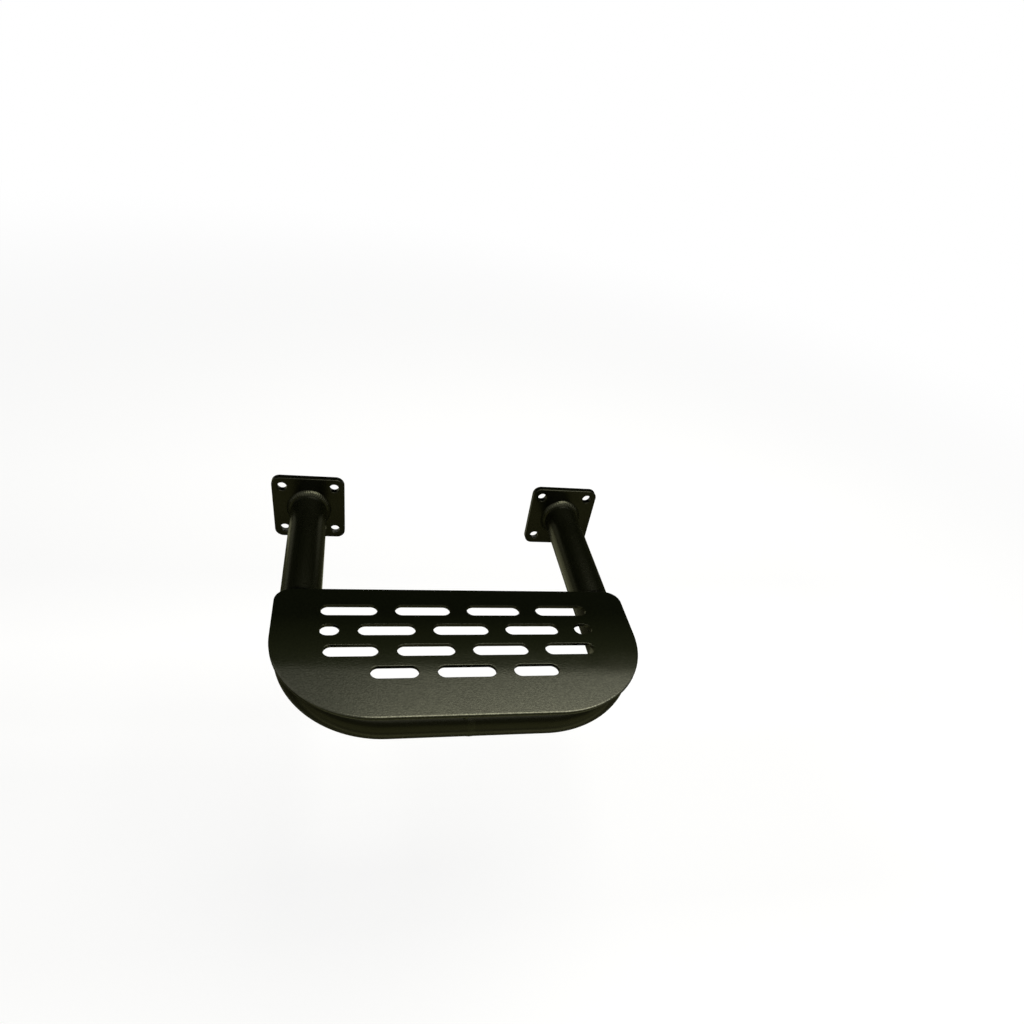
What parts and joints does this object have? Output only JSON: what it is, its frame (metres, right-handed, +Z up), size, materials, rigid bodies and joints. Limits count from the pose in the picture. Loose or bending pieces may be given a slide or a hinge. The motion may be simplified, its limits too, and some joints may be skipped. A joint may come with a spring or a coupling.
{
  "type": "side step",
  "caption": "Vehicle side step: a slotted, round-fronted tread plate welded onto a bent tube hoop whose arms end in bolt-on mounting flanges.",
  "frame": {"origin": "midway between the two mounting flanges, on the plane of their mounting faces, at the height of the tubes' axes", "axes": "+X along the vehicle, to the right as seen by someone who faces the step; +Y from the step towards the vehicle, out of the mounting faces; +Z up, out of the tread"},
  "size_m": [0.4034, 0.35, 0.084],
  "materials": {
    "tread_coat": "black powder coat with a sandy texture",
    "frame_coat": "satin black powder coat with a fine texture"
  },
  "bodies": {
    "root": {"tread_plate": "tread_coat", "left_hoop_tube": "frame_coat", "right_hoop_tube": "frame_coat", "hoop_butt_weld": "frame_coat", "front_tack_weld": "frame_coat", "left_front_stitch": "frame_coat", "right_front_stitch": "frame_coat", "left_bend_stitch": "frame_coat", "right_bend_stitch": "frame_coat", "left_arm_inner_stitch": "frame_coat", "right_arm_inner_stitch": "frame_coat", "left_arm_outer_stitch": "frame_coat", "right_arm_outer_stitch": "frame_coat", "left_flange": "frame_coat", "right_flange": "frame_coat", "left_flange_weld": "frame_coat", "right_flange_weld": "frame_coat"}
  },
  "joints": []
}
